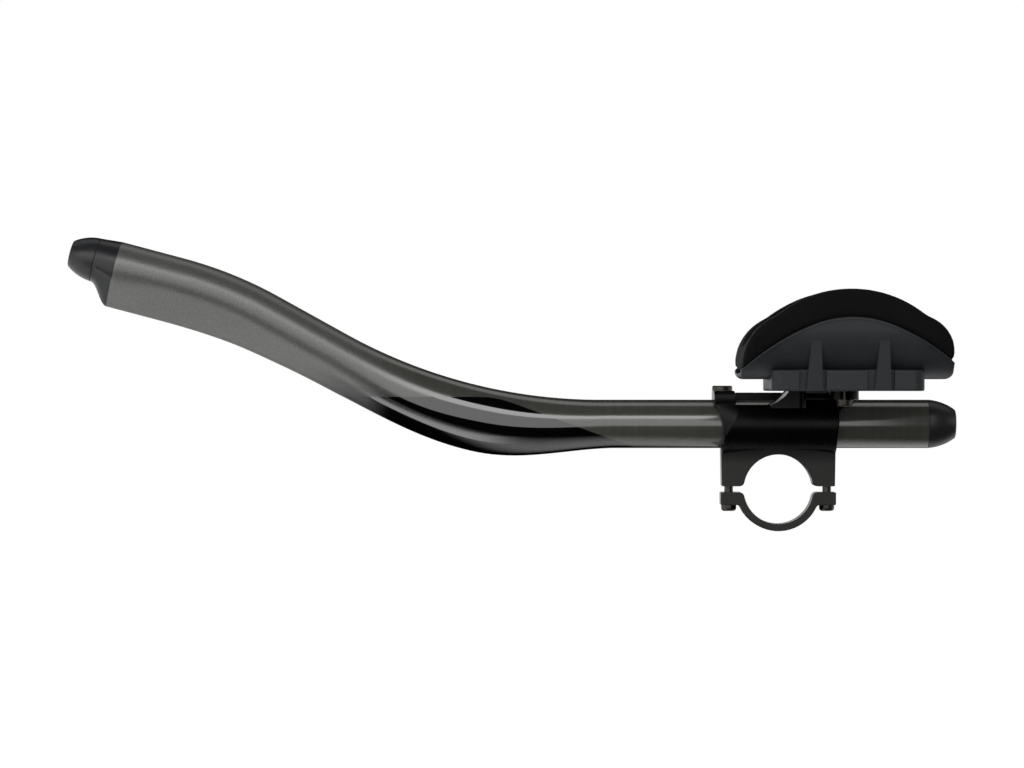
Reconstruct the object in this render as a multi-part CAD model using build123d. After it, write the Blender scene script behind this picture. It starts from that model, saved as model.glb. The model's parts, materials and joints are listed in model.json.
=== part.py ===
from build123d import *
import math
import os

# Clip-on aero bar unit for the left hand, in millimetres.
# The origin is the axis of the handlebar in the middle of the clamp.
# +X points to the rider, +Y to the middle of the bicycle, +Z up.

# Handlebar clamp
BAR_DIAMETER = 31.8
CLAMP_WIDTH = 12.0
CLAMP_SPLIT = 2.7
MOUTH_RADIUS = 2.4
STRAP_THICKNESS = 3.3
STRAP_EAR_HEIGHT = 5.9
STRAP_FILLET = 2.0
STRAP_BOLT_WALL = 4.6
STRAP_EAR_MARGIN = 3.9
STRAP_COUNTERBORE = 1.2
STRAP_THREAD_DEPTH = 11.0
SADDLE_DRAFT = 0.5

# Barrel that holds the extension
TUBE_DIAMETER = 22.2
TUBE_WALL = 2.0
TUBE_FIT = 0.05
SADDLE_WALL = 2.85
BARREL_WALL = 4.05
BARREL_FRONT_OVERHANG = 3.0
BARREL_REAR_OVERHANG = 1.8
BARREL_REAR_DRAFT = 2.2
SCALLOP_DEPTH = 4.3
SCALLOP_RADIUS = 28.8
SCALLOP_DROP = 6.3
BELLY_RISE = 2.6
TAPER_START = 8.8
TAPER_TILT = 31.6
TAPER_ANGLE = 19.0
TAPER_MARGIN = 0.2
RELIEF_START = 1.0
RELIEF_RISE = 5.1
RELIEF_WALL = 1.6
RELIEF_RADIUS = 3.5
WALL_RISE = 8.8
NOTCH_WIDTH = 5.0
FORGING_RADIUS = 0.6

# Cap over the extension, and its bolt
CAP_LENGTH = 9.7
CAP_SLIT = 0.6
CAP_BOLT_WALL = 2.6
CAP_EAR_DEPTH = 13.0
TONGUE_WIDTH = 1.2
TONGUE_DEPTH = 1.1
TONGUE_INSET = 3.0

# Armrest platform on the barrel
PLATFORM_THICKNESS = 4.0
FRONT_BOSS_DIAMETER = 10.4
FRONT_BOSS_DROP = 3.8
REAR_BOSS_DIAMETER = 13.2
ARM_BOLT_FRONT_X = 5.6
ARM_BOLT_SPACING = 22.4
RAMP_LENGTH = 8.7
RAMP_SAG = 0.9
WEB_REACH = 4.5
WEB_ROUND = 3.6
BLOCK_CORNER = 4.0

# Armrest cup
ARMREST_X = 25.0
ARMREST_OFFSET = 57.0
CUP_LENGTH = 93.0
CUP_WIDTH = 71.0
CUP_WALL = 2.6
BOWL_RADIUS = 22.0
RIM_HEIGHT = 27.2
RIM_PEAK_SHIFT = 1.7
RIM_CROWN_RADIUS = 46.0
RIM_CROWN_ANGLE = 21.5
RIM_FRONT_HEIGHT = 4.0
RIM_REAR_HEIGHT = 7.3
CUP_END_RADIUS = 3.0
BASE_LENGTH = 67.0
BASE_WIDTH = 66.0
BASE_HEIGHT = 9.3
BASE_CORNER = 5.0
CUP_LIFT = 5.2
RIB_SPACING = 29.8
RIB_WIDTH = 7.4
RIB_TOP_WIDTH = 4.3
RIB_LEAN = 0.75
RIB_HEIGHT = 22.0
GROOVE_FRONT = 3.2
GROOVE_REAR = 1.5
GROOVE_DEPTH = 2.6
BASE_EDGE = 0.8
BEAD_PROUD = 0.5
BEAD_HEIGHT = 1.2
BEAD_EDGE = 0.45
POCKET_DEPTH = 3.4
POCKET_WALL = 3.0
INSERT_ROW_OFFSET = 27.0
INSERT_DIAMETER = 6.0
INSERT_LENGTH = 6.0

# Armrest pad
PAD_CROWN = 12.4
PAD_LOBE_LENGTH = 60.0
PAD_LOBE_SHIFT = 1.4
PAD_LOBE_DROP = 9.7
PAD_STEP_LENGTH = 3.4
PAD_STEP_DROP = 2.4
PAD_END_BULGE = 4.4
PAD_THICKNESS = 11.0
PAD_SIDE = 12.0
PAD_TROUGH_RADIUS = 17.0
PAD_GAP = 0.35
PAD_INSET = 0.4
STRIP_LENGTH = 30.0
STRIP_WIDTH = 22.0
STRIP_THICKNESS = 1.2
STRIP_SPACING = 42.0

# Extension tube: straight in the barrel, bent up in front of it and bent back to the grip
TUBE_REAR = 68.6
BEND_START = 81.3
BEND_RADIUS = 252.0
BEND_ANGLE = 29.0
BEND_RUN = 35.3
GRIP_BEND_RADIUS = 180.0
GRIP_ANGLE = 14.9
GRIP_LENGTH = 28.9
LOFT_STEP = 15.0

# Keel under the tube: the distance past the start of the bend, the depth, and how far its sides draw in
KEEL_PLACES = [
    (-7.0, 0.0, 0.0),
    (55.0, 7.9, 0.35),
    (121.0, 4.0, 0.35),
    (205.0, 8.3, 0.72),
]
KEEL_SPANS = 8

# Ends of the extension
COLLAR_LENGTH = 9.8
COLLAR_STEPS = 6
SPIGOT_LENGTH = 9.0
SPIGOT_CLEARANCE = 0.2
FRONT_PLUG_DIAMETER = 20.3
FRONT_PLUG_LENGTH = 12.1
FRONT_PLUG_SPIGOT = 13.0
REAR_PLUG_LENGTH = 12.9
DOME_SHARE = 0.57
DOME_BULGE = 0.8
DOME_EDGE = 1.6
SEAM_CHAMFER = 0.35

# Fasteners: socket-head and button-head screws
STRAP_BOLT = 4.0
STRAP_HEAD_DIAMETER = 7.0
STRAP_HEAD_HEIGHT = 4.0
CAP_BOLT = 5.0
CAP_HEAD_DIAMETER = 9.4
CAP_HEAD_HEIGHT = 2.3
ARM_BOLT = 4.0
ARM_HEAD_DIAMETER = 7.2
ARM_HEAD_HEIGHT = 2.2
WASHER_DIAMETER = 8.0
WASHER_THICKNESS = 0.8
HOLE_CLEARANCE = 0.4
THREAD_CLEARANCE = 0.1
SOCKET_SHARE = 0.6
HEAD_ROUND_SHARE = 0.35

# Places worked out from the sizes above
BAR_RADIUS = BAR_DIAMETER / 2
TUBE_RADIUS = TUBE_DIAMETER / 2
BORE_RADIUS = TUBE_RADIUS + TUBE_FIT
BARREL_RADIUS = BORE_RADIUS + BARREL_WALL
AXIS_Z = BAR_RADIUS + SADDLE_WALL + BORE_RADIUS
STRAP_BOLT_X = BAR_RADIUS + STRAP_BOLT_WALL + STRAP_BOLT / 2
EAR_END = STRAP_BOLT_X + STRAP_EAR_MARGIN
BARREL_FRONT = -EAR_END - BARREL_FRONT_OVERHANG
BARREL_REAR = EAR_END + BARREL_REAR_OVERHANG
WALL_TOP = AXIS_Z + WALL_RISE
CAP_BOTTOM = WALL_TOP + CAP_SLIT
CAP_X = BARREL_FRONT + CAP_LENGTH / 2
CAP_BOLT_Y = BORE_RADIUS + CAP_BOLT_WALL + CAP_BOLT / 2
PLATFORM_Z = AXIS_Z + BARREL_RADIUS
PLATFORM_BOTTOM = PLATFORM_Z - PLATFORM_THICKNESS
ARM_BOLT_REAR_X = ARM_BOLT_FRONT_X + ARM_BOLT_SPACING
ARM_BOLT_Y = -ARMREST_OFFSET + INSERT_ROW_OFFSET
CUP_FLOOR = PLATFORM_Z + CUP_LIFT
CUP_INSIDE = CUP_FLOOR + CUP_WALL
RIM_TOP = CUP_FLOOR + RIM_HEIGHT
RIM_FRONT_END = CUP_FLOOR + RIM_FRONT_HEIGHT
RIM_REAR_END = CUP_FLOOR + RIM_REAR_HEIGHT
PAD_BOTTOM = CUP_INSIDE + STRIP_THICKNESS
PAD_TOP = RIM_TOP + PAD_CROWN
PAD_SHOULDER = PAD_TOP - PAD_LOBE_DROP
STRAP_EAR_BOTTOM = -CLAMP_SPLIT / 2 - STRAP_EAR_HEIGHT
FAR = 200.0
NEAR = 0.01


def rod_x(radius, x0, x1, z):
    """A round bar along X."""
    return Pos((x0 + x1) / 2, 0, z) * Rot(0, 90, 0) * Cylinder(radius, x1 - x0)


def rod_y(radius, y0, y1, x, z):
    """A round bar along Y."""
    return Pos(x, (y0 + y1) / 2, z) * Rot(90, 0, 0) * Cylinder(radius, y1 - y0)


def rod_z(radius, z0, z1, x, y):
    """A round bar along Z."""
    return Pos(x, y, (z0 + z1) / 2) * Cylinder(radius, z1 - z0)


def block(x0, x1, y0, y1, z0, z1):
    """A box between two corners."""
    size = Box(x1 - x0, y1 - y0, z1 - z0)
    return Pos((x0 + x1) / 2, (y0 + y1) / 2, (z0 + z1) / 2) * size


def side_prism(outline, y0, y1):
    """An outline drawn in X and Z, carried from y0 to y1."""
    return extrude(Plane.XZ.offset(-y1) * outline, amount=y1 - y0)


def cross_prism(outline, x0, x1):
    """An outline drawn in Y and Z, carried from x0 to x1."""
    return extrude(Plane.YZ.offset(x0) * outline, amount=x1 - x0)


def plan_prism(outline, z0, z1):
    """An outline drawn in X and Y, carried from z0 to z1."""
    return extrude(Plane.XY.offset(z0) * outline, amount=z1 - z0)


def polygon(*points):
    """A flat face with straight sides."""
    return make_face(Polyline(*points, close=True))


def screw(diameter, length, head_diameter, head_height):
    """A screw that stands on its head: the head's seat is at Z 0 and the shank points up."""
    socket = RegularPolygon(head_diameter * SOCKET_SHARE / 2, 6)
    head = Pos(0, 0, -head_height / 2) * Cylinder(head_diameter / 2, head_height)
    rim = head.edges().group_by(Axis.Z)[0]
    head = fillet(rim, head_height * HEAD_ROUND_SHARE)
    head -= plan_prism(socket, -head_height, -head_height / 2)
    return head + rod_z(diameter / 2, 0, length, 0, 0)


def keel_section(radius, keel, taper):
    """A round top over a keel that hangs lower than the round and draws in by the taper."""
    top = CenterArc((0, 0), radius, 0, 180)
    if keel == 0:
        return make_face([top, CenterArc((0, 0), radius, 180, 180)])
    points = []
    for step in range(KEEL_SPANS + 1):
        angle = math.pi * (1 + step / KEEL_SPANS)
        side, rise = math.cos(angle), math.sin(angle)
        points.append((radius * side * (1 - taper * rise * rise), (radius + keel) * rise))
    return make_face([top, Spline(*points, tangents=[(0, -1), (0, 1)])])


def ease(share):
    """A smooth step from 0 to 1."""
    return (1 - math.cos(math.pi * share)) / 2


def keel_at(distance):
    """The depth and taper of the keel at a distance past the start of the bend."""
    if distance <= KEEL_PLACES[0][0]:
        return KEEL_PLACES[0][1:]
    for (start, depth0, taper0), (end, depth1, taper1) in zip(KEEL_PLACES, KEEL_PLACES[1:]):
        if distance <= end:
            share = ease((distance - start) / (end - start))
            return depth0 + (depth1 - depth0) * share, taper0 + (taper1 - taper0) * share
    return KEEL_PLACES[-1][1:]


def bend_lengths():
    """The lengths along the axis of the bend, the run after it, the bend back and the grip."""
    bend = BEND_RADIUS * math.radians(BEND_ANGLE)
    back = GRIP_BEND_RADIUS * math.radians(BEND_ANGLE - GRIP_ANGLE)
    return bend, BEND_RUN, back, GRIP_LENGTH


def axis_at(distance):
    """The plane across the axis at a distance past the start of the bend."""
    bend, run, back, _ = bend_lengths()
    turned = min(max(distance, 0), bend) / BEND_RADIUS
    x = -BEND_START - min(distance, 0) - BEND_RADIUS * math.sin(turned)
    z = AXIS_Z + BEND_RADIUS * (1 - math.cos(turned))
    straight = min(max(distance - bend, 0), run)
    x -= straight * math.cos(turned)
    z += straight * math.sin(turned)
    slope = turned - min(max(distance - bend - run, 0), back) / GRIP_BEND_RADIUS
    x -= GRIP_BEND_RADIUS * (math.sin(turned) - math.sin(slope))
    z += GRIP_BEND_RADIUS * (math.cos(slope) - math.cos(turned))
    last = max(distance - bend - run - back, 0)
    x -= last * math.cos(slope)
    z += last * math.sin(slope)
    return axis_plane((x, 0, z), (-math.cos(slope), 0, math.sin(slope)))


def axis_plane(origin, direction):
    """A plane across the axis, with its own Y upwards."""
    return Plane(origin=origin, x_dir=(0, -1, 0), z_dir=direction)


def grip_end():
    """The plane at the front end of the tube."""
    return axis_at(sum(bend_lengths()))


def tube_form(inset, overrun):
    """The extension's solid form, drawn in by an inset and run past both ends."""
    radius = TUBE_RADIUS - inset
    start, end = KEEL_PLACES[0][0], sum(bend_lengths())
    count = math.ceil((end - start) / LOFT_STEP)
    sections = []
    for step in range(count + 1):
        distance = start + (end - start) * step / count
        sections.append(axis_at(distance) * keel_section(radius, *keel_at(distance)))
    form = rod_x(radius, -BEND_START - start, TUBE_REAR + overrun, AXIS_Z) + loft(sections)
    if overrun:
        form += extrude(sections[-1], amount=overrun)
    return form


def extension_tube():
    """The hollow carbon tube."""
    return tube_form(0, 0) - tube_form(TUBE_WALL, TUBE_WALL)


def dome_plug(radius, length, spigot_radius, spigot_length):
    """A domed end plug on its own Z axis, with its seam at Z 0 and a spigot below."""
    end_radius = radius * DOME_SHARE
    middle = ((radius + end_radius) / 2 + DOME_BULGE, length / 2 + DOME_BULGE)
    outline = [
        Line((0, -spigot_length), (spigot_radius, -spigot_length)),
        Line((spigot_radius, -spigot_length), (spigot_radius, 0)),
        Line((spigot_radius, 0), (radius - SEAM_CHAMFER, 0)),
        Line((radius - SEAM_CHAMFER, 0), (radius, SEAM_CHAMFER)),
        ThreePointArc((radius, SEAM_CHAMFER), middle, (end_radius, length)),
        Line((end_radius, length), (0, length)),
        Line((0, length), (0, -spigot_length)),
    ]
    plug = revolve(Plane.XZ * make_face(outline), axis=Axis.Z)
    return fillet(plug.edges().group_by(Axis.Z)[-1], DOME_EDGE)


def rear_end_plug():
    """The plug that closes the round rear end."""
    spigot = TUBE_RADIUS - TUBE_WALL - SPIGOT_CLEARANCE
    plug = dome_plug(TUBE_RADIUS, REAR_PLUG_LENGTH, spigot, SPIGOT_LENGTH)
    return axis_plane((TUBE_REAR, 0, AXIS_Z), (1, 0, 0)) * plug


def front_plug_spigot_radius():
    """The radius of the front plug's spigot, inside the collar's wall."""
    return TUBE_RADIUS - 2 * TUBE_WALL - SPIGOT_CLEARANCE


def front_collar():
    """The collar that carries the deep grip section over to the round plug."""
    plane = grip_end()
    keel_end, taper_end = KEEL_PLACES[-1][1:]
    plug_radius = FRONT_PLUG_DIAMETER / 2
    sections = []
    for step in range(COLLAR_STEPS + 1):
        share = step / COLLAR_STEPS
        left = 1 - ease(share)
        radius = TUBE_RADIUS + (plug_radius - TUBE_RADIUS) * share
        section = keel_section(radius, keel_end * left, taper_end * left)
        sections.append(plane.offset(COLLAR_LENGTH * share) * section)
    collar = loft(sections)
    spigot_face = keel_section(TUBE_RADIUS - TUBE_WALL - SPIGOT_CLEARANCE, keel_end, taper_end)
    collar += extrude(plane.offset(-SPIGOT_LENGTH) * spigot_face, amount=SPIGOT_LENGTH)
    bore = front_plug_spigot_radius() + SPIGOT_CLEARANCE / 2
    depth = COLLAR_LENGTH + SPIGOT_LENGTH
    return collar - extrude(plane.offset(-SPIGOT_LENGTH) * Circle(bore), amount=depth)


def front_end_plug():
    """The domed plug in the collar."""
    spigot = front_plug_spigot_radius()
    plug = dome_plug(FRONT_PLUG_DIAMETER / 2, FRONT_PLUG_LENGTH, spigot, FRONT_PLUG_SPIGOT)
    return grip_end().offset(COLLAR_LENGTH) * plug


def barrel():
    """The round barrel, scalloped and tapered at the front and arched over the handlebar."""
    body = rod_x(BARREL_RADIUS, BARREL_FRONT, BARREL_REAR, AXIS_Z)
    low, high = AXIS_Z - BARREL_RADIUS, AXIS_Z + BARREL_RADIUS
    slant = polygon((BARREL_REAR - BARREL_REAR_DRAFT, low), (BARREL_REAR, high), (FAR, high), (FAR, low))
    body -= side_prism(slant, -FAR, FAR)
    body = fillet(body.edges().group_by(Axis.X)[-1], FORGING_RADIUS)
    body &= barrel_taper()
    scallop_x = BARREL_FRONT + SCALLOP_DEPTH - SCALLOP_RADIUS
    body -= rod_y(SCALLOP_RADIUS, -FAR, FAR, scallop_x, AXIS_Z - SCALLOP_DROP)
    half_width = CLAMP_WIDTH / 2
    belly_end = AXIS_Z - math.sqrt(BARREL_RADIUS ** 2 - half_width ** 2)
    arch = ThreePointArc(
        (BARREL_FRONT, belly_end), (0, belly_end + BELLY_RISE), (-BARREL_FRONT, belly_end)
    )
    belly = make_face([
        arch,
        Line((-BARREL_FRONT, belly_end), (-BARREL_FRONT, 0)),
        Line((-BARREL_FRONT, 0), (BARREL_FRONT, 0)),
        Line((BARREL_FRONT, 0), (BARREL_FRONT, belly_end)),
    ])
    return body - side_prism(belly, -FAR, FAR) - barrel_relief()


def barrel_taper():
    """What the barrel stays within: full size behind a slanting plane, and drawn in before it."""
    tilt = math.radians(TAPER_TILT)
    origin = (BARREL_FRONT + TAPER_START, 0, AXIS_Z)
    plane = Plane(origin=origin, x_dir=(0, 1, 0), z_dir=(-math.cos(tilt), 0, math.sin(tilt)))
    radius = BARREL_RADIUS + TAPER_MARGIN
    section = plane * Ellipse(radius, radius / math.cos(tilt))
    behind = extrude(plane * Rectangle(FAR, FAR), amount=-FAR)
    return extrude(section, amount=BARREL_RADIUS, taper=TAPER_ANGLE) + behind


def barrel_relief():
    """The pocket in the barrel's outer shoulder, down to a thin wall round the bore."""
    pocket = block(RELIEF_START, FAR, -FAR, 0, AXIS_Z + RELIEF_RISE, FAR)
    corner = pocket.edges().filter_by(Axis.Y).group_by(Axis.Z)[0].sort_by(Axis.X)[0]
    return fillet(corner, RELIEF_RADIUS) - relief_core()


def relief_core():
    """The round that the relief leaves standing."""
    return rod_x(BORE_RADIUS + RELIEF_WALL, -FAR, FAR, AXIS_Z)


def saddle():
    """The block between the barrel and the upper half of the handlebar."""
    bottom = CLAMP_SPLIT / 2
    lower = EAR_END - SADDLE_DRAFT
    outline = polygon((-lower, bottom), (lower, bottom), (EAR_END, AXIS_Z), (-EAR_END, AXIS_Z))
    outline -= Circle(BAR_RADIUS)
    outline = fillet(mouth_corners(outline, bottom), MOUTH_RADIUS)
    body = side_prism(outline, -CLAMP_WIDTH / 2, CLAMP_WIDTH / 2)
    ends = [edge for edge in body.edges() if abs(edge.center().X) > lower - NEAR]
    body = fillet(ends, FORGING_RADIUS)
    radius = (STRAP_BOLT + THREAD_CLEARANCE) / 2
    for x in (-STRAP_BOLT_X, STRAP_BOLT_X):
        body -= rod_z(radius, 0, bottom + STRAP_THREAD_DEPTH, x, 0)
    return body


def mouth_corners(outline, height):
    """The corners where the handlebar's circle meets the split of the clamp."""
    mouth_x = math.sqrt(BAR_RADIUS ** 2 - height ** 2)
    return [v for v in outline.vertices() if abs(abs(v.X) - mouth_x) < NEAR]


def cap_ear_plan():
    """The plan of the ear beside the tube, for the cap and for the boss below it."""
    web = Pos(CAP_X, CAP_BOLT_Y / 2) * Rectangle(CAP_LENGTH, CAP_BOLT_Y)
    return web + Pos(CAP_X, CAP_BOLT_Y) * Circle(CAP_LENGTH / 2)


def tongue(clearance):
    """The rib under the cap's outer foot, or the groove that takes it."""
    foot = -math.sqrt(BARREL_RADIUS ** 2 - (CAP_BOTTOM - AXIS_Z) ** 2) + TONGUE_INSET
    bottom = WALL_TOP - TONGUE_DEPTH
    return block(
        BARREL_FRONT, BARREL_FRONT + CAP_LENGTH + clearance,
        foot - clearance, foot + TONGUE_WIDTH + clearance,
        bottom - clearance, CAP_BOTTOM,
    )


def cap_bolt_hole(diameter, z0, z1):
    """A hole on the axis of the cap's bolt."""
    return rod_z(diameter / 2, z0, z1, CAP_X, CAP_BOLT_Y)


def clamp_cap():
    """The cap that closes the barrel over the tube at the front."""
    band = rod_x(BARREL_RADIUS, BARREL_FRONT, BARREL_FRONT + CAP_LENGTH, AXIS_Z)
    cap = fillet(band.edges().filter_by(GeomType.CIRCLE), FORGING_RADIUS)
    ear = plan_prism(cap_ear_plan(), CAP_BOTTOM, PLATFORM_Z)
    top_edges = [edge for edge in ear.edges().group_by(Axis.Z)[-1] if edge.center().Y > NEAR]
    cap += fillet(top_edges, FORGING_RADIUS)
    cap -= block(-FAR, FAR, -FAR, FAR, 0, CAP_BOTTOM)
    cap += tongue(0)
    cap -= rod_x(BORE_RADIUS, -FAR, FAR, AXIS_Z)
    return cap - cap_bolt_hole(CAP_BOLT + HOLE_CLEARANCE, 0, FAR)


def clamp_cap_bolt():
    """The button-head screw through the cap's ear."""
    length = PLATFORM_Z - WALL_TOP + CAP_EAR_DEPTH - CAP_BOLT_WALL
    bolt = Rot(180, 0, 0) * screw(CAP_BOLT, length, CAP_HEAD_DIAMETER, CAP_HEAD_HEIGHT)
    return Pos(CAP_X, CAP_BOLT_Y, PLATFORM_Z) * bolt


def cap_seat():
    """What is cut from the front of the barrel so that the cap closes it."""
    return block(-FAR, BARREL_FRONT + CAP_LENGTH + CAP_SLIT, -FAR, FAR, WALL_TOP, FAR)


def ramp_end():
    """The X at which the ramp reaches the top of the platform, just before the front bolt."""
    return ARM_BOLT_FRONT_X - (ARM_BOLT + 2 * HOLE_CLEARANCE) / 2


def ramp_opening():
    """The notch in the barrel's outer side that runs from the cap up to the platform."""
    end_x = ramp_end()
    start_x = end_x - RAMP_LENGTH
    middle = ((start_x + end_x) / 2, (WALL_TOP + PLATFORM_Z) / 2 - RAMP_SAG)
    outline = make_face([
        Line((-FAR, WALL_TOP), (start_x, WALL_TOP)),
        ThreePointArc((start_x, WALL_TOP), middle, (end_x, PLATFORM_Z)),
        Line((end_x, PLATFORM_Z), (end_x, FAR)),
        Line((end_x, FAR), (-FAR, FAR)),
        Line((-FAR, FAR), (-FAR, WALL_TOP)),
    ])
    return side_prism(outline, -FAR, NOTCH_WIDTH)


def front_block():
    """The block under the front bolt, from the foot of the ramp, with a recess for the screw's head."""
    radius = FRONT_BOSS_DIAMETER / 2
    bottom = PLATFORM_BOTTOM - FRONT_BOSS_DROP
    front = ramp_end() - RAMP_LENGTH
    body = block(
        front, ARM_BOLT_FRONT_X + radius, ARM_BOLT_Y - radius, -TUBE_RADIUS, bottom, PLATFORM_Z
    )
    corner = body.edges().filter_by(Axis.Z).group_by(Axis.X)[-1].sort_by(Axis.Y)[0]
    body = fillet(corner, BLOCK_CORNER)
    sink = (WASHER_DIAMETER + HOLE_CLEARANCE) / 2
    return body - rod_z(sink, bottom, PLATFORM_BOTTOM, ARM_BOLT_FRONT_X, ARM_BOLT_Y)


def platform():
    """The arm that reaches outwards from the barrel and carries the armrest."""
    radius = REAR_BOSS_DIAMETER / 2
    front_x, rear_x = ARM_BOLT_REAR_X - radius, ARM_BOLT_REAR_X + radius
    root_y = -TUBE_RADIUS
    plate = block(
        ARM_BOLT_FRONT_X, BARREL_REAR, root_y - WEB_REACH, 0, PLATFORM_BOTTOM, PLATFORM_Z
    )
    outer_edge = plate.edges().filter_by(Axis.X).group_by(Axis.Z)[-1].sort_by(Axis.Y)[0]
    plate = fillet(outer_edge, WEB_ROUND)
    plate += block(front_x, rear_x, ARM_BOLT_Y, root_y, PLATFORM_BOTTOM, PLATFORM_Z)
    plate += rod_z(radius, PLATFORM_BOTTOM, PLATFORM_Z, ARM_BOLT_REAR_X, ARM_BOLT_Y)
    foot_x, foot_z = BARREL_REAR - BARREL_REAR_DRAFT, AXIS_Z + RELIEF_RISE
    gusset = polygon(
        (rear_x, PLATFORM_BOTTOM), (foot_x, foot_z), (front_x, foot_z), (front_x, PLATFORM_BOTTOM)
    )
    web = side_prism(gusset, -FAR, 0) & relief_core()
    return plate + front_block() + web


def bracket_body():
    """The forged bracket in one piece."""
    cap_ear_bottom = WALL_TOP - CAP_EAR_DEPTH
    body = barrel() + saddle() + platform()
    body += plan_prism(cap_ear_plan(), cap_ear_bottom, WALL_TOP)
    body -= cap_seat()
    body -= ramp_opening()
    body -= tongue(THREAD_CLEARANCE)
    body -= rod_x(BORE_RADIUS, -FAR, FAR, AXIS_Z)
    body -= cap_bolt_hole(CAP_BOLT + THREAD_CLEARANCE, cap_ear_bottom, FAR)
    hole = (ARM_BOLT + HOLE_CLEARANCE) / 2
    for x in (ARM_BOLT_FRONT_X, ARM_BOLT_REAR_X):
        body -= rod_z(hole, AXIS_Z, FAR, x, ARM_BOLT_Y)
    slot = block(ARM_BOLT_REAR_X - hole, ARM_BOLT_REAR_X + hole, -FAR, ARM_BOLT_Y, AXIS_Z, FAR)
    return body - slot


def handlebar_strap():
    """The lower half of the handlebar clamp, with an ear at each end."""
    top = -CLAMP_SPLIT / 2
    outer = BAR_RADIUS + STRAP_THICKNESS
    ears = Pos(0, (top + STRAP_EAR_BOTTOM) / 2) * Rectangle(2 * EAR_END, STRAP_EAR_HEIGHT)
    outline = Circle(outer) - Pos(0, FAR / 2 + top) * Rectangle(FAR, FAR) + ears - Circle(BAR_RADIUS)
    joint_x = math.sqrt(outer ** 2 - STRAP_EAR_BOTTOM ** 2)
    outer_corners = [v for v in outline.vertices() if abs(abs(v.X) - joint_x) < NEAR]
    outline = fillet(outer_corners, STRAP_FILLET)
    outline = fillet(mouth_corners(outline, top), MOUTH_RADIUS)
    half = CLAMP_WIDTH / 2
    strap = side_prism(outline, -half, half)
    strap = fillet(strap_edges(strap), FORGING_RADIUS)
    bore = (STRAP_BOLT + HOLE_CLEARANCE) / 2
    sink = (STRAP_HEAD_DIAMETER + HOLE_CLEARANCE) / 2
    for x in (-STRAP_BOLT_X, STRAP_BOLT_X):
        strap -= rod_z(bore, -FAR, 0, x, 0)
        strap -= rod_z(sink, -FAR, STRAP_EAR_BOTTOM + STRAP_COUNTERBORE, x, 0)
    return strap


def strap_edges(strap):
    """The edges of the strap's outside: its ends, and the rim under the ears and round the ring."""
    ends = [edge for edge in strap.edges() if abs(edge.center().X) > EAR_END - NEAR]
    low = [edge for edge in strap.edges() if edge.center().Z < STRAP_EAR_BOTTOM + NEAR]
    outside = [edge for edge in low if abs(edge.center().Y) > CLAMP_WIDTH / 2 - NEAR]
    ring = BAR_RADIUS + STRAP_THICKNESS / 2
    return ends + [
        edge for edge in outside
        if math.hypot(edge.center().X, edge.center().Z) > ring and edge not in ends
    ]


def strap_bolt(x):
    """A socket-head screw from below, through an ear of the strap."""
    seat = STRAP_EAR_BOTTOM + STRAP_COUNTERBORE
    length = CLAMP_SPLIT / 2 + STRAP_THREAD_DEPTH - seat - HOLE_CLEARANCE
    return Pos(x, 0, seat) * screw(STRAP_BOLT, length, STRAP_HEAD_DIAMETER, STRAP_HEAD_HEIGHT)


def trough_section(half_width, floor, radius):
    """A U section, open upwards, with round bottom corners."""
    bend = half_width - radius
    bite = radius * math.sin(math.radians(45))
    left = ThreePointArc(
        (-half_width, floor + radius), (-bend - bite, floor + radius - bite), (-bend, floor)
    )
    right = ThreePointArc(
        (bend, floor), (bend + bite, floor + radius - bite), (half_width, floor + radius)
    )
    return Pos(-ARMREST_OFFSET, 0) * make_face([
        left, Line((-bend, floor), (bend, floor)), right,
        Line((half_width, floor + radius), (half_width, FAR)),
        Line((half_width, FAR), (-half_width, FAR)),
        Line((-half_width, FAR), (-half_width, floor + radius)),
    ])


def armrest_span(section, margin):
    """A U section carried along the armrest, run past its ends by a margin."""
    half = CUP_LENGTH / 2 + margin
    return cross_prism(section, ARMREST_X - half, ARMREST_X + half)


def rim_side(lift):
    """The side view of the cup below its arched rim, with the rim lifted by a gap."""
    half = CUP_LENGTH / 2
    slope, rise = math.sin(math.radians(RIM_CROWN_ANGLE)), math.cos(math.radians(RIM_CROWN_ANGLE))
    reach = RIM_CROWN_RADIUS * slope
    crown_z = RIM_TOP - RIM_CROWN_RADIUS * (1 - rise) + lift
    crown_front, crown_rear = (RIM_PEAK_SHIFT - reach, crown_z), (RIM_PEAK_SHIFT + reach, crown_z)
    front, rear = RIM_FRONT_END + lift, RIM_REAR_END + lift
    outline = make_face([
        ThreePointArc(crown_front, (RIM_PEAK_SHIFT, RIM_TOP + lift), crown_rear),
        TangentArc(crown_rear, (half, rear), tangent=(rise, -slope)),
        Line((half, rear), (half, CUP_FLOOR)),
        Line((half, CUP_FLOOR), (-half, CUP_FLOOR)),
        Line((-half, CUP_FLOOR), (-half, front)),
        TangentArc(crown_front, (-half, front), tangent=(-rise, -slope)),
    ])
    return Pos(ARMREST_X, 0) * outline


def insert_places():
    """The X and Y of each threaded insert, in two rows of three."""
    columns = [ARM_BOLT_FRONT_X + ARM_BOLT_SPACING * step for step in range(3)]
    rows = [-ARMREST_OFFSET + INSERT_ROW_OFFSET, -ARMREST_OFFSET - INSERT_ROW_OFFSET]
    return [(x, y) for y in rows for x in columns]


def rib_places():
    """The X of each rib."""
    return ARMREST_X - RIB_SPACING / 2, ARMREST_X + RIB_SPACING / 2


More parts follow.
